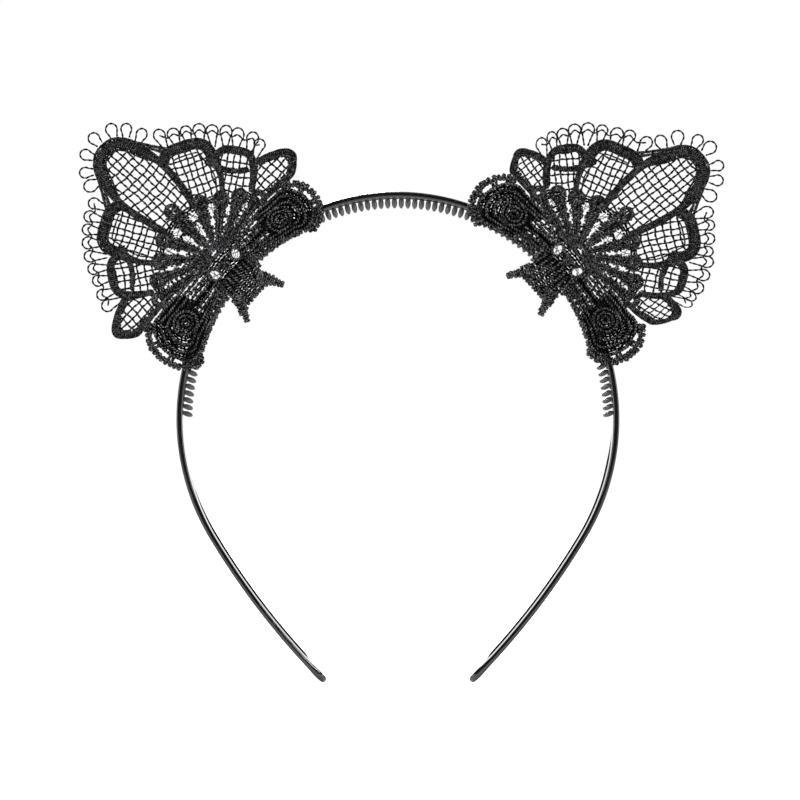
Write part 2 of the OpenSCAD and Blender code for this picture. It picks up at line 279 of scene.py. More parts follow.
def turns(count):
    """The angles of the points round a ring."""
    return np.linspace(0, 2 * math.pi, count, endpoint=False)


def smooth_step(x):
    x = np.clip(x, 0, 1)
    return x * x * (3 - 2 * x)


def polar(angle, radius=1, centre=(0, 0)):
    """The point at an angle from straight up, in degrees, and a distance from a centre."""
    a = math.radians(angle)
    return centre + radius * np.array([math.sin(a), math.cos(a)])


# ---------- the band ----------

def arc_of(angle):
    """Centre and radius of the band's arc at an angle, for the right-hand side."""
    side_c = polar(CROWN_END, CROWN_R - SIDE_R)
    leg_c = polar(SIDE_END, SIDE_R - LEG_R, side_c)
    if angle <= CROWN_END:
        return np.zeros(2), CROWN_R
    if angle <= SIDE_END:
        return side_c, SIDE_R
    return leg_c, LEG_R


def band_section(leg):
    """Section of the band: depth below the outer face, and place front to back.
    leg is 1 where the inner face leans to the front, with a lip along its back edge."""
    half = BAND_W / 2
    flat = half - EDGE_R
    quarter = np.radians([18, 36, 54, 72])

    def inner(y):
        lip = BACK_LIP * smooth_step((y - LIP_Y) / LIP_OVER)
        return leg * INNER_LEAN * y + max(leg, 0.0) * lip

    def outer_edge(turn, way):
        depth = OUTER_CROWN - OUTER_DIP + EDGE_R * (1 - math.cos(turn))
        return depth, way * (flat + EDGE_R * math.sin(turn))

    def inner_edge(turn, way):
        depth = BAND_T - EDGE_R + (EDGE_R + inner(way * flat)) * math.sin(turn)
        return depth, way * (flat + EDGE_R * math.cos(turn))

    section = [(OUTER_CROWN * (y / half) ** 2, y) for y in np.linspace(flat, -flat, 9)]
    section += [outer_edge(turn, -1) for turn in quarter]
    section += [inner_edge(turn, -1) for turn in quarter]
    section += [(BAND_T + inner(y), y) for y in
                (-flat, -2.2, -1.6, -0.8, 0, 0.8, 1.4, 1.6, 1.7, 1.8, 1.95, 2.1, flat)]
    section += [inner_edge(turn, 1) for turn in quarter[::-1]]
    section += [outer_edge(turn, 1) for turn in quarter[::-1]]
    return np.array(section)


def band_ring(angle, to_tip, lean_from=LEG_END, lean_over=1.0):
    """One ring of the right-hand side; to_tip is the distance left to the leg's tip, where the
    band is rounded off behind a slight bulb."""
    rise = min(1.0, max(0.0, (angle - lean_from) / lean_over))
    fall = min(1.0, max(-1.5, (LEAN_TO - angle) / LEAN_FADE))
    section = band_section(rise * fall)
    round_w = math.sqrt(max(0.02, 1 - max(0.0, 1 - to_tip / (BAND_W / 2)) ** 2))
    round_t = math.sqrt(max(0.10, 1 - max(0.0, 1 - to_tip / TIP_R) ** 2))
    bulb = 1 + TIP_BULB * math.exp(-((to_tip - BULB_FROM_TIP) / BULB_LEN) ** 2)
    depth = BAND_T / 2 + (section[:, 0] - BAND_T / 2) * round_t * bulb
    centre, r = arc_of(angle)
    flat = centre + (r - depth)[:, None] * polar(angle)
    return np.stack([flat[:, 0], section[:, 1] * round_w, flat[:, 1]], axis=-1)


def crown_rings():
    """The band over the head; close rings at its ends keep their edges sharp."""
    rings = Rings()
    angles = np.concatenate([[-FLEX], np.linspace(0.01 - FLEX, FLEX - 0.01, 61), [FLEX]])
    stack = np.array([band_ring(abs(a), FAR_FROM_TIP) * np.array([math.copysign(1, a), 1, 1])
                      for a in angles])
    rings.tube(stack, stack[0].mean(axis=0), stack[-1].mean(axis=0))
    return rings


def side_angles():
    """Ring angles, close together at the flex line and towards the leg's tip."""
    angles = [FLEX, FLEX + 0.01, FLEX + 0.4]
    angles += np.arange(FLEX + 0.8, SIDE_END, 0.75).tolist()
    angles += np.arange(SIDE_END, LEG_END - 1.0, 0.22).tolist()
    angles += [LEG_END - math.degrees(d / LEG_R) for d in
               (3.4, 3.1, 2.8, 2.5, 2.2, 1.9, 1.6, 1.3, 1.0, 0.75, 0.5, 0.3, 0.15, 0.05)]
    return sorted(set(angles))


def side_rings(side):
    rings = Rings()
    stack = np.array([band_ring(a, LEG_R * math.radians(LEG_END - a), *LEAN_FROM[side])
                      for a in side_angles()])
    centre, r = arc_of(LEG_END)
    end = polar(LEG_END, r - BAND_T / 2, centre)
    rings.tube(stack, stack[0].mean(axis=0), np.array([end[0], 0.0, end[1]]))
    return rings


# A tooth's form: share of its length from the root, then shares of its full width and depth
TOOTH_FORM = [(0, 0.62, 1.0), (0.08, 0.70, 1.0), (0.2, 0.86, 1.0), (0.34, 0.97, 0.98),
              (0.5, 1.0, 0.93), (0.64, 0.96, 0.85), (0.77, 0.84, 0.73), (0.88, 0.63, 0.56),
              (0.95, 0.42, 0.36), (0.99, 0.16, 0.14)]


def tooth_lean(angle):
    """How far the tooth at an angle leans towards the leg's tip."""
    last = CROWN_END + (SIDE_TEETH - 0.5) * SIDE_PITCH
    first = CROWN_END + 0.5 * SIDE_PITCH
    return TOOTH_LEAN * max(0.0, (angle - first) / (last - first))


def tooth(rings, angle, rng):
    """A leaf-shaped tooth on the inner face of the band, with a glossy rounded back."""
    centre, r = arc_of(angle)
    out = polar(angle - tooth_lean(angle) + rng.normal(0, 0.35))
    along = np.array([out[1], -out[0]])
    root = polar(angle, r - BAND_T + TOOTH_ROOT, centre)
    length = TOOTH_LEN + TOOTH_ROOT
    turn = turns(12)
    stack = []
    for place, width, depth in TOOTH_FORM:
        mid = root - out * length * place
        flat = mid + (width * TOOTH_T / 2 * np.cos(turn))[:, None] * along
        stack.append(np.stack([flat[:, 0], depth * TOOTH_W / 2 * np.sin(turn), flat[:, 1]],
                              axis=-1))
    end = root - out * length
    rings.tube(np.array(stack), np.array([root[0], 0, root[1]]), np.array([end[0], 0, end[1]]))


def comb_rings(angles, seed):
    rings, rng = Rings(), np.random.default_rng(seed)
    for a in angles:
        tooth(rings, a, rng)
    return rings


def on_side(sign):
    """Puts right-hand points in the frame, mirrored for the left."""
    return lambda points: points * np.array([sign, 1, 1]) * MM


def bend_with_side(obj):
    """Bakes a piece's placement into its mesh; the piece is not bent with the crown or the side."""
    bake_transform(obj)


def make_band():
    crown = piece("crown_band_moulding", crown_rings(), on_side(1), "band", "crown_band")
    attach(crown, "crown")
    angles = [FLEX - (i + 0.5) * PITCH for i in range(CROWN_TEETH // 2)]
    rings = comb_rings(angles, 11)
    rings.add_mirrored(comb_rings(angles, 12))
    comb = piece("crown_comb_teeth", rings, on_side(1), "comb", "crown_comb")
    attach(comb, "crown")
    angles = [FLEX + (i + 0.5) * PITCH for i in range(SHOULDER_TEETH)]
    angles += [CROWN_END + (i + 0.5) * SIDE_PITCH for i in range(SIDE_TEETH)]
    for side, sign in SIDES.items():
        band = piece(f"{side}_band_moulding", side_rings(side), on_side(sign), "band",
                     f"{side}_band")
        teeth = piece(f"{side}_comb_teeth", comb_rings(angles, 20 + sign), on_side(sign), "comb",
                      f"{side}_comb")
        for obj in (band, teeth):
            bend_with_side(obj)


# ---------- thread work ----------

def run_along(line):
    """The distance of each point of a polyline from its start, along it."""
    return np.concatenate([[0], np.cumsum(np.linalg.norm(np.diff(line, axis=0), axis=1))])


def resample(line, step):
    """Distances about step apart along a polyline, and its points there; extra columns of the
    polyline go along."""
    run = run_along(line[:, :2])
    count = max(4, int(round(run[-1] / step)) + 1)
    at = np.linspace(0, run[-1], count)
    return at, np.stack([np.interp(at, run, line[:, c]) for c in range(line.shape[1])], axis=-1)


def curve_through(points, count=40):
    """A smooth curve through a few points; each has as many columns as it needs."""
    p = np.array(points, float)
    p = np.vstack([2 * p[0] - p[1], p, 2 * p[-1] - p[-2]])
    out = []
    for i in range(1, len(p) - 2):
        t = np.linspace(0, 1, count // (len(p) - 3) + 2)[:, None]
        a, b, c, d = p[i - 1], p[i], p[i + 1], p[i + 2]
        out.append(0.5 * (2 * b + (c - a) * t + (2 * a - 5 * b + 4 * c - d) * t ** 2
                          + (3 * b - a - 3 * c + d) * t ** 3)[:-1])
    return np.vstack(out + [p[-2][None]])


def frame_along(path):
    """Unit tangent and unit sideways vector at each point of a flat path."""
    tangent = np.gradient(path, axis=0)
    tangent /= np.maximum(np.linalg.norm(tangent, axis=1), 1e-9)[:, None]
    return tangent, np.stack([tangent[:, 1], -tangent[:, 0]], axis=-1)


def sweep(rings, path, height, half_w, half_t, shape, crest=0.5):
    """Rings along a flat path; shape gives each ring's radii as shares of the half sizes."""
    tangent, aside = frame_along(path)
    turn = turns(shape.shape[1])
    flat = path[:, None, :] + (half_w[:, None] * shape * np.cos(turn))[..., None] * aside[:, None, :]
    lift = height[:, None] + half_t[:, None] * shape * np.sin(turn)
    ends = path[0] - tangent[0] * half_w[0] * 0.5, path[-1] + tangent[-1] * half_w[-1] * 0.5
    # Painted shade: the sides of each cord get less of the painted highlight than its front and back.
    crest = crest * (0.06 + 0.94 * np.abs(np.sin(turn)) ** 1.4)
    rings.tube(np.concatenate([flat, lift[..., None]], axis=-1),
               np.append(ends[0], height[0]), np.append(ends[1], height[-1]), crest)


def satin(rings, line, width, thick, rng, lift=0.0, pitch=0.6, segments=10, skew=0.22,
          depth=0.34, ragged=0.06, taper=0.0):
    """A padded bar of satin stitches laid across a line; width and thick may be arrays."""
    sizes = [np.broadcast_to(size, len(line)) for size in (width, thick, lift)]
    run, table = resample(np.column_stack([line] + sizes), pitch / 3)
    stitch = (run / pitch).astype(int)
    strength = rng.uniform(0.55, 1.25, stitch[-1] + 1)[stitch]
    spread = rng.normal(0, ragged, stitch[-1] + 1)[stitch]
    slant = skew * np.cos(turns(segments))
    wave = 0.5 + 0.5 * np.cos(2 * math.pi * (run[:, None] / pitch + slant))
    shape = 1 - depth * strength[:, None] * (1 - wave) + spread[:, None]
    if taper:
        ends = np.clip(np.minimum(run, run[-1] - run) / taper, 0.04, 1)
        shape *= np.sqrt(ends * (2 - ends))[:, None]
    # Painted light: a painted highlight on each stitch's crest and painted shade in its grooves,
    # brighter on fuller stitches.
    crest = np.clip(1.4 * wave - 0.1, 0, 1) * np.clip(strength, 0.6, 1.2)[:, None]
    sweep(rings, table[:, :2], table[:, 4], table[:, 2] / 2, table[:, 3] / 2, shape, crest)


def ply(rings, line, radius, rng, lift=0.0, lay=1.5, segments=8, lobe=0.2, painted_light=1.0):
    """A two-ply twisted thread along a line, with a painted highlight on the crests of its plies and
    painted shade between them; the last argument is its share of that painted light.
    """
    run, table = resample(np.column_stack([line, np.broadcast_to(lift, len(line))]), lay / 5)
    start = rng.uniform(0, math.pi)
    twist = np.cos(2 * (turns(segments) + start - math.pi * run[:, None] / lay))
    size = radius * (1 + 0.08 * smooth_noise(run, 2.0, rng))
    # Painted highlight on the ply crests, painted shade between the plies.
    sweep(rings, table[:, :2], table[:, 2], size, size, 1 + lobe * twist, painted_light * (0.5 + 0.5 * twist))


def smooth_noise(run, period, rng):
    """A smooth random curve along a length, between about -1 and 1."""
    total = np.zeros(len(run))
    for k, weight in ((1, 0.6), (2.3, 0.3), (4.1, 0.15)):
        total += weight * np.sin(2 * math.pi * run * k / period + rng.uniform(0, 2 * math.pi))
    return total


def stretches(mask, least=5):
    """Start and end of each run of True that is at least so long."""
    edges = np.flatnonzero(np.diff(np.concatenate([[0], mask.astype(int), [0]])))
    return [(a, b) for a, b in zip(edges[::2], edges[1::2]) if b - a >= least]


# ---------- petals ----------

def inside_polygon(points, outline):
    """Even-odd test of each point against a closed outline."""
    x, y = points[:, :1], points[:, 1:2]
    (x0, y0), (x1, y1) = outline.T, np.roll(outline, -1, axis=0).T
    rise = np.where(y1 == y0, 1e-9, y1 - y0)
    crossed = ((y0 > y) != (y1 > y)) & (x < (x1 - x0) * (y - y0) / rise + x0)
    return crossed.sum(axis=1) % 2 == 1


def share(s, base, tip):
    """A petal's half width at s, from 0 at its base to 1 at its tip, as a share of the most."""
    widest = base / (base + tip)
    return (s / widest) ** base * ((1 - s) / (1 - widest)) ** tip


def turned(base, direction, sign, across, along):
    """Points across and along a direction from a base, mirrored where sign is -1."""
    d = math.radians(direction)
    v = base[0] + across * math.cos(d) + along * math.sin(d)
    u = base[1] - across * math.sin(d) + along * math.cos(d)
    return np.stack([sign * v, u], axis=-1)


def up_and_back(count):
    """How far up its petal each point of an outline is, and its side: 1, then -1."""
    way = np.linspace(0, 2, count)
    s = (1 - np.cos(math.pi * np.where(way < 1, way, 2 - way))) / 2
    return np.clip(s, 0, 1), np.where(way < 1, 1, -1)


def petal_outline(k, sign):
    """Points round a petal from its base, up its outer side to the tip and down the other."""
    if k == len(PETALS):
        return curve_through(LEAF, 140) * np.array([sign, 1])
    direction, length, half, base, tip = PETALS[k]
    s, way = up_and_back(160)
    return turned(FOCUS, direction, sign, way * half * share(s, base, tip), s * length)


def rim_width(k, count):
    """The rim's width at each point of a petal's outline."""
    thin, thick, start, end = RIMS[k]
    return thin + (thick - thin) * smooth_step((up_and_back(count)[0] - start) / (end - start))


def petal_inset(k, sign, inset):
    """A petal's outline moved inwards; inset may be one number or one for each point."""
    line = petal_outline(k, sign)
    _, aside = frame_along(line)
    way = -sign if k < len(PETALS) else sign
    return line + way * aside * np.broadcast_to(inset, len(line))[:, None]


def petal_signs(k):
    """The centre petal is drawn once, and the others on both sides of it."""
    return (1,) if k == 0 else (1, -1)


def fan_reach(points):
    """The fan's radius in the direction of each point; it is longer at its two sides."""
    angle = np.degrees(np.arctan2(np.abs(points[:, 0]), points[:, 1] - FOCUS[1]))
    return FAN_R + FAN_MORE * smooth_step((angle - 52) / 22)


def covered(points, k, tuck):
    """True where a petal before k, or the fan, lies over a point by more than tuck."""
    hidden = np.linalg.norm(points - FOCUS, axis=1) < fan_reach(points) - tuck
    for j in range(k):
        for other in petal_signs(j):
            hidden |= inside_polygon(points, petal_inset(j, other, tuck))
    return hidden


LEAF_BEADS_FROM = 23.0      # how far along v the beads on a leaf's edge start


def draw_rim(rings, k, rng):
    """The stitched rims of a petal and its mirror image, where nothing lies over them."""
    for sign in petal_signs(k):
        width = rim_width(k, len(petal_outline(k, sign)))
        centre = petal_inset(k, sign, width / 2)
        for a, b in stretches(~covered(centre, k, 0.9)):
            w = width[a:b]
            line = centre[a:b] + 0.12 * smooth_noise(np.arange(b - a), 50, rng)[:, None]
            satin(rings, line, w * 0.9, 1.0 + 0.12 * w, rng, 0.05, pitch=0.58, depth=0.3, skew=0.3)
            _, aside = frame_along(line)
            for edge, size in ((0.42, 0.75), (-0.42, 0.7)):
                satin(rings, line + aside * (w * edge)[:, None], size, 0.8, rng, 0.2, **CLOSE)
            if w.max() > 2.5:
                for c, d in stretches(w > 2.4):
                    satin(rings, line[c:d], 1.0, 0.9, rng, 0.42, taper=1.0, **CLOSE)
            if k == len(PETALS):
                edge = -sign * aside
                far = np.abs(line[:, 0]) > LEAF_BEADS_FROM
                knurls(rings, (line + edge * (w * 0.4)[:, None])[far], 1.15, edge[far] * 0.45,
                       1.25, rng)


def bead(rings, centre, radius, rng, lift):
    """A knot of thread: a ball with a few turns wound round it."""
    way = rng.uniform(0, math.pi)
    t = np.linspace(-0.96, 0.96, 9)
    size = radius * np.sqrt(1 - t * t)
    wound = np.cos(5.5 * t[:, None] + turns(9))
    path = centre + radius * np.outer(t, (math.cos(way), math.sin(way)))
    # The wound turns get a painted highlight on their crests and painted shade between them.
    sweep(rings, path, np.full(len(t), lift), size, size, 1 + 0.14 * wound, 0.6 + 0.4 * wound)


def knurls(rings, line, step, out, size, rng, lift=0.1):
    """Beads along a line; out is how far and which way each one's middle stands from it."""
    run, out = run_along(line), np.broadcast_to(out, line.shape)
    for at in np.arange(step / 2, run[-1], step):
        at += rng.normal(0, step * 0.1)
        foot = np.array([np.interp(at, run, line[:, c]) for c in (0, 1)])
        way = np.array([np.interp(at, run, out[:, c]) for c in (0, 1)]) * rng.uniform(0.75, 1.2)
        bead(rings, foot + way, size / 2 * rng.uniform(0.88, 1.12), rng, lift)


MESHES = [(1.85, 2.45), (1.8, 2.1), (1.8, 2.1), (1.8, 2.1)]   # each net's, across and along
LEAF_NET, LEAF_NET_BASE = (90, 36, 7), (0, 15)  # direction, length, half width; and its base
NET_PLY_R, NET_LIFT, WANDER = 0.26, 0.07, 0.12


def draw_net(rings, rng):
    """Two layers of crossing threads in the opening of each petal."""
    for k, (step_across, step_along) in enumerate(MESHES):
        leaf = k == len(PETALS)
        direction, reach, half = LEAF_NET if leaf else PETALS[k][:3]
        base = LEAF_NET_BASE if leaf else FOCUS
        for sign in petal_signs(k):
            opening = petal_inset(k, sign, rim_width(k, len(petal_outline(k, sign))) - 0.5)
            lines = []
            for i in range(-int(half / step_across) - 1, int(half / step_across) + 2):
                along = np.arange(0, reach, 0.25)
                across = (i + rng.uniform(-WANDER, WANDER)) * step_across
                across = across + 0.2 * smooth_noise(along, 9, rng)
                lines.append((turned(base, direction, sign, across, along), NET_LIFT))
            for i in range(1, int(reach / step_along) + 1):
                across = np.arange(-half, half, 0.25)
                along = (i + rng.uniform(-WANDER, WANDER)) * step_along
                along = along + 0.2 * smooth_noise(across, 7, rng) + 0.012 * across ** 2
                lines.append((turned(base, direction, sign, across, along), -NET_LIFT))
            for line, lift in lines:
                shown = inside_polygon(line, opening) & ~covered(line, k, 0.4)
                for a, b in stretches(shown):
                    ply(rings, line[a:b], NET_PLY_R, rng, lift=lift)


# ---------- fan ----------

SPOKES = {0: 19.4, 27: 16.0, 49: 16.4, 66: 18.2, 81: 20.4}    # angle, and where its head is
SPOKE_ROOT = 1.6
FAN_RINGS = [(7.2, 1.1), (11.4, 1.0), (3.6, 1.0)]             # radius and width
# Openings between the spokes: angle, radius, half across, half along
SLOTS = [(14, 13.4, 0.95, 1.2), (14, 9.4, 0.7, 1.4), (16, 5.2, 0.35, 0.7), (38, 14.0, 0.6, 1.3),
         (38, 9.6, 0.35, 0.9), (58, 11.8, 0.55, 1.6), (57, 16.4, 0.35, 0.5), (74, 16.2, 0.4, 0.8),
         (74, 12.0, 0.4, 1.0)]
PINHOLES = {15: (11.2, 7.2), 38: (11.7, 7.4, 5.6), 58: (9.2, 7.2, 14.3), 73: (14.2, 9.8, 7.6)}
SLOTS += [(angle, radius, 0.3, 0.38) for angle, radii in PINHOLES.items() for radius in radii]
KNOT_HOLE = (4.2, 5.0, 0.9, 1.2)                              # v, u, half across, half along


def from_focus(angle, radius):
    """A point of the fan, at an angle from its middle spoke."""
    return polar(angle, radius, FOCUS)


def ring_line(centre, radius, start=0, sweep_deg=360, count=40, squeeze=1.0, tilt=0.0):
    """Points on a circle or ellipse, from an angle, turning anticlockwise."""
    a = np.radians(np.linspace(start, start + sweep_deg, count))
    x, y = radius * np.cos(a), radius * squeeze * np.sin(a)
    c, s = math.cos(math.radians(tilt)), math.sin(math.radians(tilt))
    return np.stack([centre[0] + c * x - s * y, centre[1] + s * x + c * y], axis=-1)


def in_openings(points, grow=0.0):
    """True where a point is in one of the fan's or the knot's openings, made larger by grow."""
    hit = np.zeros(len(points), bool)
    for sign in (1, -1):
        ovals = [(from_focus(sign * angle, radius), math.radians(sign * angle), *halves)
                 for angle, radius, *halves in SLOTS]
        ovals.append(((sign * KNOT_HOLE[0], KNOT_HOLE[1]), 0, *KNOT_HOLE[2:]))
        for middle, d, across, along in ovals:
            off = points - middle
            x = off[:, 0] * math.cos(d) - off[:, 1] * math.sin(d)
            y = off[:, 0] * math.sin(d) + off[:, 1] * math.cos(d)
            hit |= (x / (across + grow)) ** 2 + (y / (along + grow)) ** 2 < 1
    return hit


def wander(line, amount, periods, rng):
    """The line with smooth random waves; the periods are in points of the line."""
    run = np.arange(len(line))
    return line + amount * np.column_stack([smooth_noise(run, period, rng) for period in periods])


GROUND_R, GROUND_LIFT = 0.34, -0.42


def ground(rings, lines, rng):
    """Close rows of looped stitches that fill the cloth between its openings."""
    for line in lines:
        for a, b in stretches(~in_openings(line, 0.25), 4):
            part = wander(line[a:b], 0.12, (14, 11), rng)
            # Ground rows take 0.4 of the painted highlight: painted shade for the ground lying behind
            # the cords.
            ply(rings, part, GROUND_R * rng.uniform(0.9, 1.1), rng,
                lift=GROUND_LIFT + rng.normal(0, 0.07), lay=1.1, segments=7, lobe=0.28, painted_light=0.4)


def tacks(rings, middle, reach, count, rng):
    """Thin loose threads that cross an opening."""
    for way in rng.uniform(0, math.pi, count):
        along = np.array([math.cos(way), math.sin(way)])
        off = rng.normal(0, 0.22 * reach) * np.array([-along[1], along[0]])
        line = middle + off + np.outer(np.linspace(-reach, reach, 8), along)
        ply(rings, line, 0.085, rng, lift=rng.normal(0, 0.1), lay=0.8, segments=5)


STEP = 0.25         # from point to point of the lines that rows of stitches follow


def fan_arc(radius, reach):
    """Points on an arc about the fan's focus, to the same angle on both sides of its middle."""
    count = max(4, int(2 * reach * math.pi / 180 * radius / STEP))
    a = np.radians(np.linspace(-reach, reach, count))
    return FOCUS + radius * np.stack([np.sin(a), np.cos(a)], axis=-1)


def draw_fan(rings, rng):
    """Rows of ground stitches, then spokes with beaded edges and round heads, and cords."""
    rows = [fan_arc(r, 86) for r in np.arange(3.0, 20.4, 0.74)]
    fills = []
    for row in rows:
        for a, b in stretches((np.linalg.norm(row - FOCUS, axis=1) < fan_reach(row))
                              & (row[:, 1] > FOLD_U + 0.1)):
            fills.append(row[a:b])
    for sign in (1, -1):
        for u, reach in ((9.75, 25.5), (10.4, 22), (11.1, 19.5)):
            v = np.arange(3, reach, STEP)
            fills.append(np.column_stack([v * sign, np.full(len(v), u)]))
    ground(rings, fills, rng)
    for angle, radius, across, _ in SLOTS:
        if across > 0.35:
            for sign in (1, -1):
                tacks(rings, from_focus(angle * sign, radius), across + 0.8, 4, rng)
    for angle in sorted({a * s for a in SPOKES for s in (1, -1)}):
        head_r = SPOKES[abs(angle)]
        reach = head_r - 1.4 if angle else head_r
        t = np.linspace(0, 1, 40)
        r = SPOKE_ROOT + (reach - SPOKE_ROOT) * t
        line = np.array([from_focus(angle + 0.8 * math.sin(3 * x), x) for x in r])
        wide = 0.17 if abs(angle) < 60 else 0.12
        width = 0.8 + wide * r if angle else 0.8 + 0.21 * np.minimum(r, 16.5)
        _, aside = frame_along(line)
        for split in (-1, 1):
            satin(rings, line + aside * (split * width * 0.2)[:, None], width * 0.42,
                  1.0 + 0.4 * t, rng, lift=0.35, taper=1.2, **SPOKE)
            knurls(rings, line, 0.85, aside * (split * width * 0.5)[:, None], 0.8, rng, 0.25)
        if angle:
            head = from_focus(angle, head_r)
            satin(rings, ring_line(head, 1.25), 1.6, 1.2, rng, 0.15, **ROUND)
            satin(rings, ring_line(head, 2.2, -angle + 200, -400, 60), 0.75, 0.8, rng, 0.05, **FINE)
    for radius, size in FAN_RINGS:
        line = fan_arc(radius, 84)
        for a, b in stretches((line[:, 1] > FOLD_U + 0.2) & ~in_openings(line)):
            satin(rings, line[a:b], size, 0.9, rng, pitch=0.55, segments=8)
    satin(rings, ring_line(from_focus(0, 18.6), 1.6, -30, 240), 1.4, 1.1, rng, 0.1, **ROUND)


# ---------- edging ----------

PICOT_R = 1.66
THREAD_R = 0.24


def loop_line(base, out, legs, rng, spread):
    """A loop on two legs that nearly meet at its foot; base is its centre, out its direction."""
    side = np.array([out[1], -out[0]])
    turn = np.radians(np.linspace(-128, 128, 30))
    size = PICOT_R * rng.uniform(0.9, 1.08)
    stretch = rng.uniform(0.98, 1.15)
    bow = [base + size * (math.sin(a) * side + stretch * math.cos(a) * out) for a in turn]
    foot = base - out * legs
    start = foot - side * spread
    end = foot + side * spread
    return curve_through([start] + bow[::3] + [bow[-1], end], 90)


def draw_picots(rings, rng):
    """Thread loops round the centre petal's tip and down both sides, with a cord along these."""
    for i in range(-3, 4):
        out = polar(24 * i + rng.normal(0, 1.5))
        centre = np.array([0, 44.3]) + (12.3 - 0.5 * abs(i)) * out
        ply(rings, loop_line(centre, out, 2.3, rng, 0.9), THREAD_R, rng, lift=rng.normal(0, 0.1))
    for sign in (1, -1):
        centres = []
        for i in range(9):
            angle = sign * (20.5 + 5.9 * i + rng.normal(0, 0.5))
            out = polar(angle)
            centre = from_focus(angle, 38.0 - 0.5 * i + rng.normal(0, 0.25))
            centres.append((centre, out))
            ply(rings, loop_line(centre, out, 4.6, rng, 0.5), THREAD_R, rng,
                lift=rng.normal(0, 0.1))
        edge = []
        for (c0, o0), (c1, o1) in zip(centres[:-1], centres[1:]):
            edge += [c0 + o0 * 0.1, (c0 - o0 * 0.9 + c1 - o1 * 0.9) / 2]
        edge.append(centres[-1][0])
        ply(rings, curve_through(edge, 160), THREAD_R, rng, lift=-0.15)


def draw_running_cords(rings, rng):
    """Cords from the centre petal's shoulders down to the second petals."""
    for sign in (1, -1):
        mirror = np.array([sign, 1])
        outer = curve_through([(4.6, 51.9), (7.4, 47.6), (10.0, 43.2), (12.6, 39.2)]) * mirror
        inner = curve_through([(7.8, 45.4), (9.4, 42.4), (10.8, 39.4)]) * mirror
        satin(rings, outer, 1.0, 1.0, rng, 0.05, **FINE)
        satin(rings, outer - np.array([0.75 * sign, 0.35]), 0.7, 0.8, rng, 0.15, **FINE)
        satin(rings, inner, 0.8, 0.9, rng, 0.0, **FINE)
        for at in (0.45, 0.75):
            foot, head = inner[int(at * len(inner))], outer[int((0.3 + at * 0.7) * len(outer)) - 1]
            ply(rings, np.linspace(foot, head, 6), 0.22, rng)


def draw_dividers(rings, rng):
    """The bar across each middle petal."""
    for sign in (1, -1):
        bar = curve_through([(17.0, 29.4), (18.4, 25.0), (20.6, 21.6), (23.6, 19.0)])
        satin(rings, bar * np.array([sign, 1]), 1.9, 1.3, rng, 0.08, pitch=0.62)


def draw_inner_cords(rings, rng):
    """The thin cord inside each upper petal's crescent."""
    for sign in (1, -1):
        line = petal_inset(1, sign, rim_width(1, 160) + 1.0)
        shown = ~covered(line, 1, 0.3) & (line[:, 0] * sign > 11)
        for a, b in stretches(shown):
            satin(rings, line[a:b], 0.55, 0.6, rng, 0.05, pitch=0.5, segments=8)


# ---------- the base, which is sewn to the band ----------

LOBE_START = 5.0     # along v
SHELL_V = 24.3       # where a lobe's shell-like end turns
ROSETTE_V = 19.8     # the middle of the rings in that end
COMB_TIPS_R = 58.4   # radius that the lower edge of the lobes follows
LOBE_CORDS = [(0.95, 1.1, 1.1), (0.75, 1.0, 1.2), (0.55, 1.05, 1.3), (0.35, 1.1, 1.4),
              (0.15, 1.1, 1.5)]     # share of the lobe, width, thickness
CHAIN_TURN = (68, -98)              # where the chain round a lobe's end starts and stops


def base_centre(side):
    """The middle of the crown arc, in an ear's own frame."""
    lean = math.radians(EAR_PLACE - EAR_TURN[side])
    return EAR_SEAT * np.array([math.sin(lean), -math.cos(lean)])


def lobe_edges(side, toward, v):
    """Top and bottom of a lobe; the bottom follows the tips of the comb's teeth."""
    centre = base_centre(side)
    share_out = np.clip((v - LOBE_START) / (SHELL_V - LOBE_START), 0, 1) ** 2
    droop = 1.2 if toward > 0 else 0.3
    bottom = centre[1] + np.sqrt(COMB_TIPS_R ** 2 - (v * toward - centre[0]) ** 2)
    bottom -= droop * share_out
    return 9.0 - 0.3 * share_out, bottom


def lobe_line(side, toward, q):
    """A cord that runs out along a lobe, round its end and back; q is its share of the lobe."""
    turn_v = 20.0 + 4.3 * q
    v = np.linspace(LOBE_START, turn_v, 40)
    top, bottom = lobe_edges(side, toward, v)
    mid, half = (top + bottom) / 2, (top - bottom) / 2
    above, below = np.stack([v, mid + q * half], axis=-1), np.stack([v, mid - q * half], axis=-1)
    end = ring_line((0, 0), 1, 90, -180, 36)[1:-1] * np.array([5.6 * q, half[-1] * q])
    line = np.vstack([above, end + np.array([turn_v, mid[-1]]), below[::-1]])
    return line * np.array([toward, 1])


def shell_edge(side, toward, reach):
    """Points round the outside of a lobe's end, and the way out from each."""
    top, bottom = lobe_edges(side, toward, np.array([SHELL_V]))
    middle, half = (top[0] + bottom[0]) / 2, (top[0] - bottom[0]) / 2
    a = np.radians(np.linspace(*CHAIN_TURN, 60))
    unit = np.stack([np.cos(a) * toward, np.sin(a)], axis=-1)
    return np.array([SHELL_V * toward, middle]) + unit * np.array([reach, half + reach - 6.6]), unit


def draw_lobe_ground(rings, side, toward, rng):
    """Rows of ground stitches, with small gaps between the cords of the lobe's flat part."""
    gaps = []
    for q in (0.85, 0.65, 0.45, 0.25):
        line = resample(lobe_line(side, toward, q), STEP)[1]
        line = line[line[:, 0] * toward < 14.5]
        gaps += [line[i] for i in range(int(rng.integers(3, 7)), len(line), 7)]
    gaps = np.array(gaps)
    rows = []
    for q in np.arange(0.05, 1.0, 0.068):
        row = resample(lobe_line(side, toward, q), STEP)[1]
        clear = np.linalg.norm(row[:, None] - gaps, axis=2).min(axis=1) > 0.55
        rows += [row[a:b] for a, b in stretches(clear, 3)]
    ground(rings, rows, rng)


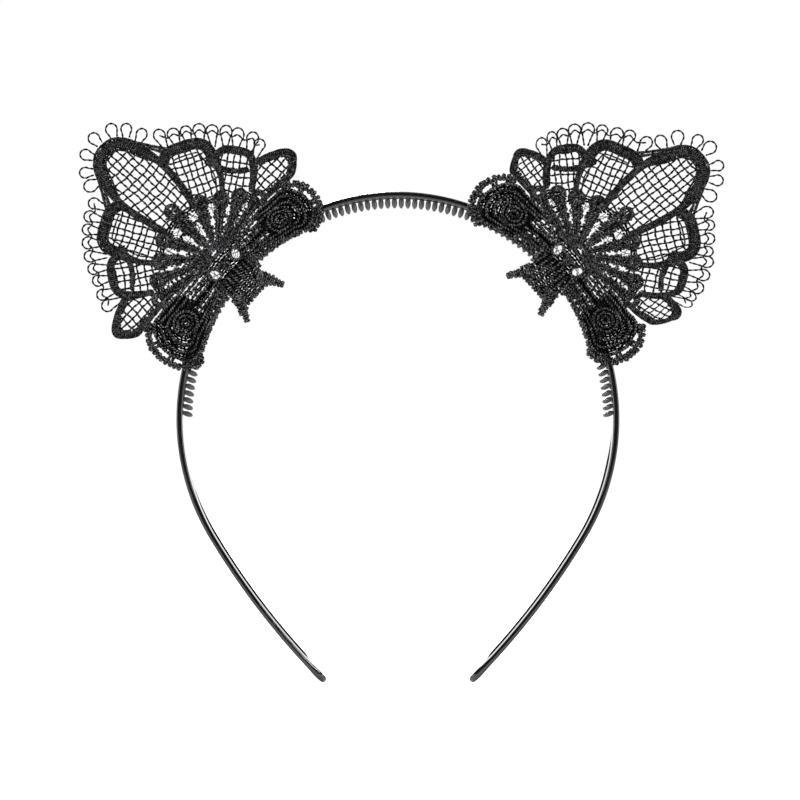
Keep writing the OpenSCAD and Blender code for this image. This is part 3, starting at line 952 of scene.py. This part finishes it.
def draw_lobe(rings, side, toward, rng):
    """A scroll of the base: cords round its end, rings inside that, and a chain of beads."""
    draw_lobe_ground(rings, side, toward, rng)
    for q, width, thick in LOBE_CORDS:
        line = wander(resample(lobe_line(side, toward, q), 0.5)[1], 0.24, (22, 17), rng)
        shown = ~in_openings(line, 0.1) & ((q > 0.5) | (line[:, 0] * toward < 15.0))
        for a, b in stretches(shown):
            satin(rings, line[a:b], width, thick, rng, 0.12 + 0.25 * (1 - q), **LOOSE)
    top, bottom = lobe_edges(side, toward, np.array([ROSETTE_V]))
    middle = np.array([ROSETTE_V * toward, (top[0] + bottom[0]) / 2])
    for radius, thick in ((1.0, 1.6), (2.2, 1.5), (3.45, 1.3)):
        ring = ring_line(middle, radius, 90 * rng.uniform(), 372, 60, 0.92)
        satin(rings, ring, 1.1, thick, rng, 0.3, pitch=0.8, depth=0.4, ragged=0.08, skew=0.4)
    v = np.linspace(6.5, SHELL_V, 60)
    top, bottom = lobe_edges(side, toward, v)
    low = np.stack([v * toward, bottom], axis=-1)
    knurls(rings, low, 1.15, np.array([0, -0.35]), 1.3, rng)
    chain, out = shell_edge(side, toward, 7.2)
    satin(rings, chain, 1.3, 1.2, rng, 0.05, pitch=0.62, depth=0.4, ragged=0.1)
    knurls(rings, chain, 1.3, out * 0.75, 1.4, rng)
    knurls(rings, chain, 1.3, out * -0.3, 1.2, rng, 0.4)
    for at, angle in enumerate(np.linspace(*CHAIN_TURN, len(chain))):
        if at % 3 == 0 and min(abs(angle - hole) for hole in (38, 2, -38)) > 11:
            bar = chain[at] - np.outer(np.linspace(0, 1.9, 6), out[at])
            satin(rings, bar, 1.1, 0.9, rng, pitch=0.55, segments=8)


# The knot's cords: v and u at the top, at the foot, and their width
KNOT_CORDS = [((0.75, 2.9), (0.8, -6.7), 1.45), ((2.2, 2.2), (2.3, -6.6), 1.45),
              ((3.6, 2.0), (3.8, -6.5), 1.45), ((5.2, 2.2), (5.2, -6.0), 1.5),
              ((6.8, 2.0), (6.4, -2.6), 1.4)]


def draw_knot_half(rings, sign, rng):
    """The ring round one of the knot's openings, the cords below it, and one tail."""
    mirror, hole = np.array([sign, 1]), np.array([sign * 4.2, 5.0])
    satin(rings, ring_line(hole, 1.6, 0, 372, 50, 1.2, sign * -20), 1.2, 1.2, rng, 0.15, **ROUND)
    tacks(rings, hole, 1.5, 5, rng)
    for top, foot, width in KNOT_CORDS:
        middle = ((top[0] + foot[0]) / 2 + 0.15, (top[1] + foot[1]) / 2)
        satin(rings, curve_through([top, middle, foot]) * mirror, width * 0.85, 1.35, rng, 0.1,
              pitch=0.85, depth=0.38, ragged=0.08, skew=0.4)
    tail = curve_through([(4.0, -4.2), (5.6, -7.2), (7.3, -10.8)]) * mirror
    satin(rings, tail, np.linspace(4.4, 1.2, len(tail)), 1.3, rng, 0.1, ragged=0.12, depth=0.36)
    _, aside = frame_along(tail)
    edge = np.linspace(1.8, 0.4, len(tail))[:, None] * aside
    knurls(rings, tail, 1.1, edge, 1.15, rng)
    knurls(rings, tail, 1.1, -edge, 1.15, rng)


def draw_knot(rings, rng):
    rows = []
    for u in np.arange(-6.6, 9.2, 0.78):
        half = 6.6 if u > 0 else 5.4
        v = np.arange(-half, half, STEP)
        rows.append(np.column_stack([v, u - 0.02 * v * v]))
    ground(rings, rows, rng)
    for sign in (1, -1):
        draw_knot_half(rings, sign, rng)
    hem = curve_through([(-5.2, -7.0), (0, -6.9), (5.2, -7.0)])
    satin(rings, hem, 1.2, 1.1, rng, 0.05, depth=0.36)
    knurls(rings, hem, 1.2, np.array([0, -0.5]), 1.15, rng)
    for u, half in ((8.5, 8.0), (5.9, 2.0)):
        bar = curve_through([(-half, u - 0.3), (0, u), (half, u - 0.3)])
        satin(rings, bar, 1.2, 1.1, rng, 0.1, pitch=0.54)
    satin(rings, ring_line((0, 4.3), 0.8, 0, 400, 40), 1.4, 1.7, rng, 0.3, depth=0.3)


# ---------- sewing thread round the band ----------

STITCHES = [FLEX + k * PITCH for k in (4, 8, 12, 16)]
STITCHES += [CROWN_END + k * SIDE_PITCH for k in (3, 7, 11, 15)]
LASH_R, LASH_FRONT, LASH_SLANT = 0.17, -5.15, 0.14


def lash_path(r):
    """Distance from the arc's middle, and place front to back, of one turn round the band."""
    low, high, back, front = r - BAND_T - 0.22, r + 0.22, BAND_W / 2 + 0.2, LASH_FRONT
    return curve_through([
        (low, back - 0.4), (low, 0), (low, front + 1.2), (low + 0.5, front + 0.1),
        ((low + high) / 2, front - 0.05), (high - 0.4, front + 0.1), (high, front + 1.2),
        (high, 0), (high, back - 0.4), (high - 0.4, back), (low + 0.4, back), (low, back - 0.4)], 110)


def stitch_rings(seed):
    """Turns of thread round the band and over the lace, each set between two teeth."""
    rings, rng = Rings(), np.random.default_rng(seed)
    radial, sideways = LASH_R * np.cos(turns(8)), LASH_R * np.sin(turns(8))
    for angle in STITCHES:
        centre, r = arc_of(angle)
        for wrap in (-0.17, 0.17):
            loop = lash_path(r)
            slant = LASH_SLANT * np.sin(2 * math.pi * np.linspace(0, 1, len(loop)))
            tilt = angle + np.degrees(wrap + slant + 0.03 * rng.normal()) / r * 1.4
            _, aside = frame_along(loop)
            stack = []
            for (rad, y), (sr, sy), a in zip(loop, aside, tilt):
                out, along = polar(a), polar(a + 90)
                flat = centre + (rad + radial * sr)[:, None] * out + sideways[:, None] * along
                stack.append(np.column_stack([flat[:, 0], y + radial * sy, flat[:, 1]]))
            stack = np.array(stack)
            rings.tube(stack, stack[0].mean(axis=0), stack[-1].mean(axis=0))
    return rings


# ---------- the two ears ----------

def in_ear(side, rng):
    """Puts points of an ear's own frame in the part's, with the cloth's slight waves. drawn is
    the share of the leaf petals' draw that a piece follows."""
    turn, place = math.radians(EAR_TURN[side]), math.radians(EAR_PLACE)
    phase = rng.uniform(0, 2 * math.pi, 4)
    lean = EAR_LEAN[side]

    def place_points(points, drawn=0.0):
        v, u, h = points.T
        zone = drawn * np.clip((26 - u) / 8, 0, 1)
        for toward, (draw_v, draw_u) in LEAF_DRAW[side].items():
            pull = np.clip((v * toward - 18) / 15, 0, 1.2) ** 2 * zone
            v, u = v + draw_v * pull, u + draw_u * pull
        v = v + lean[0] - lean[1] * u
        free = np.clip((u - FOLD_U) / 20, 0, 1)
        wave = 0.35 * np.sin(v / 9 + phase[0]) + 0.25 * np.sin(u / 11 + phase[1])
        v = v + free * 0.25 * np.sin(u / 8 + phase[2])
        u = u + free * 0.25 * np.sin(v / 10 + phase[3])
        h = h + free * (wave + 0.6 * (v / 30) ** 2)
        x = -(EAR_SEAT * math.sin(place)) + v * math.cos(turn) - u * math.sin(turn)
        z = EAR_SEAT * math.cos(place) + v * math.sin(turn) + u * math.cos(turn)
        return np.stack([-SIDES[side] * x, LACE_Y - h, z], axis=-1) * MM

    return place_points


# Share of the leaf petals' draw that each piece follows; the others stay where they are
DRAWN = {"leaf_petals": 1.0, "net_ground": 1.0, "middle_petals": 1.0, "spoke_fan": 1.0,
         "edge_loops": 0.6}


def make_ear(side):
    rng = np.random.default_rng(101 if side == "left" else 202)
    place = in_ear(side, rng)

    def made(name, material, node, *draws):
        """A piece drawn by functions that are each given as (function, further arguments)."""
        rings = Rings()
        for draw, *what in draws:
            draw(rings, *what, rng)
        drawn = DRAWN.get(name, 0.0)
        return piece(f"{side}_{name}", rings, lambda p: place(p, drawn), material,
                     f"{side}_{node}")

    ear = [
        made("centre_petal", "rim", "centre_rim", (draw_rim, 0)),
        made("upper_petals", "rim", "upper_rims", (draw_rim, 1), (draw_inner_cords,),
             (draw_running_cords,)),
        made("middle_petals", "rim", "middle_rims", (draw_rim, 2), (draw_dividers,)),
        made("leaf_petals", "rim", "leaf_rims", (draw_rim, 3)),
        made("spoke_fan", "satin", "fan", (draw_fan,)),
        made("edge_loops", "net", "picots", (draw_picots,)),
    ]
    ground = made("net_ground", "net", "net", (draw_net,))
    start, end = (Vector(place(np.array([[0, u, 0]]))[0]) for u in (FOLD_U - 0.2, FOLD_U + 2.8))
    for obj in ear + [ground]:
        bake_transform(obj)
    knot = made("centre_knot", "satin", "knot", (draw_knot,))
    outer = made("scroll_leg_side", "satin", "scroll_outer", (draw_lobe, side, -1))
    inner = made("scroll_crown_side", "satin", "scroll_inner", (draw_lobe, side, 1))
    thread = piece(f"{side}_lashings", stitch_rings(300 + SIDES[side]), on_side(SIDES[side]),
                   "sewing", f"{side}_stitching")
    for obj in (knot, outer):
        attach(obj, f"{side}_side")
    for obj in (inner, thread):
        bend_with_side(obj)


# ---------- studio ----------

def make_camera():
    """Straight on from the front; the picture is 228 mm wide at the object."""
    width, distance, look = 0.2282, 0.66, Vector((0.0006, 0, 0.0027))
    data = bpy.data.cameras.new("camera")
    data.sensor_width = 36
    data.lens = data.sensor_width * distance / width
    data.clip_start, data.clip_end = 0.01, 50
    camera = bpy.data.objects.new("camera", data)
    camera.location = look + Vector((0, -distance, 0))
    camera.rotation_euler = (math.radians(90), 0, 0)
    bpy.context.scene.collection.objects.link(camera)
    bpy.context.scene.camera = camera


# Each light's place and size, in metres, and its power; all of them face the object
LIGHTS = {
    "key_light": ((-0.42, -0.50, 0.50), (0.14, 0.14), 2.4),
    "fill_light": ((0.5, -0.40, 0.42), (0.12, 0.12), 1.6),
    "front_light": ((0.0, -0.8, -0.45), (0.3, 0.3), 2.1),
    "left_light": ((-0.75, -0.2, 0.0), (0.3, 0.5), 2.2),
    "right_light": ((0.75, -0.2, 0.0), (0.3, 0.5), 2.2),
    "top_light": ((0.05, -0.12, 0.7), (0.5, 0.08), 0.7),
    "back_light": ((-0.2, 0.7, 0.45), (0.4, 0.3), 9.0),
}
WHITE = (1, 1, 1, 1)
FLOOR_HALF, FLOOR_GAP = 6.0, 0.0008


def area_light(name, place, size, power):
    data = bpy.data.lights.new(name, "AREA")
    data.shape = "RECTANGLE"
    data.size, data.size_y = size
    data.energy = power
    light = bpy.data.objects.new(name, data)
    light.location = place
    light.rotation_euler = (-Vector(place)).to_track_quat("-Z", "Y").to_euler()
    bpy.context.scene.collection.objects.link(light)


def make_world():
    """A white room for the camera; reflections see it bright only behind the object."""
    world = bpy.data.worlds.new("studio")
    world.use_nodes = True
    tree = world.node_tree
    split = add_node(tree, "SeparateXYZ", {"Vector": add_node(tree, "TexCoord").outputs["Generated"]})
    behind = add_node(tree, "MapRange", {"Value": split.outputs["Y"]}, From_Min=0.80,
                      From_Max=0.97, To_Min=0.004, To_Max=1.4)
    room = fill(tree, tree.nodes["Background"], {"Strength": behind.outputs["Result"]}, Color=WHITE)
    backdrop = add_node(tree, "Background", Color=WHITE)
    rays = add_node(tree, "LightPath")
    mix = add_node(tree, "MixShader", {"Fac": rays.outputs["Is Camera Ray"],
                                       1: room.outputs["Background"],
                                       2: backdrop.outputs["Background"]})
    fill(tree, tree.nodes["World Output"], {"Surface": mix.outputs["Shader"]})
    bpy.context.scene.world = world


def make_floor():
    """A pale floor just below the leg tips, as white as the room to the camera."""
    z = cad_box[0].z - FLOOR_GAP
    mesh = bpy.data.meshes.new("floor")
    corners = [(x * FLOOR_HALF, y * FLOOR_HALF, z) for x, y in ((-1, -1), (1, -1), (1, 1), (-1, 1))]
    mesh.from_pydata(corners, [], [(0, 1, 2, 3)])
    mat, tree, bsdf = new_material("pale_floor")
    rays = add_node(tree, "LightPath")
    fill(tree, bsdf, {"Emission Strength": rays.outputs["Is Camera Ray"]}, Emission_Color=WHITE,
         Base_Color=(0.93, 0.93, 0.93, 1), Roughness=0.9, Specular_IOR_Level=0.1)
    mesh.materials.append(mat)
    floor = bpy.data.objects.new("floor", mesh)
    bpy.context.scene.collection.objects.link(floor)


def make_studio():
    bpy.context.scene.view_settings.view_transform = "Standard"
    make_world()
    for name, (place, size, power) in LIGHTS.items():
        area_light(name, place, size, power)
    make_floor()


make_camera()
make_studio()
make_band()
for ear_side in SIDES:
    make_ear(ear_side)
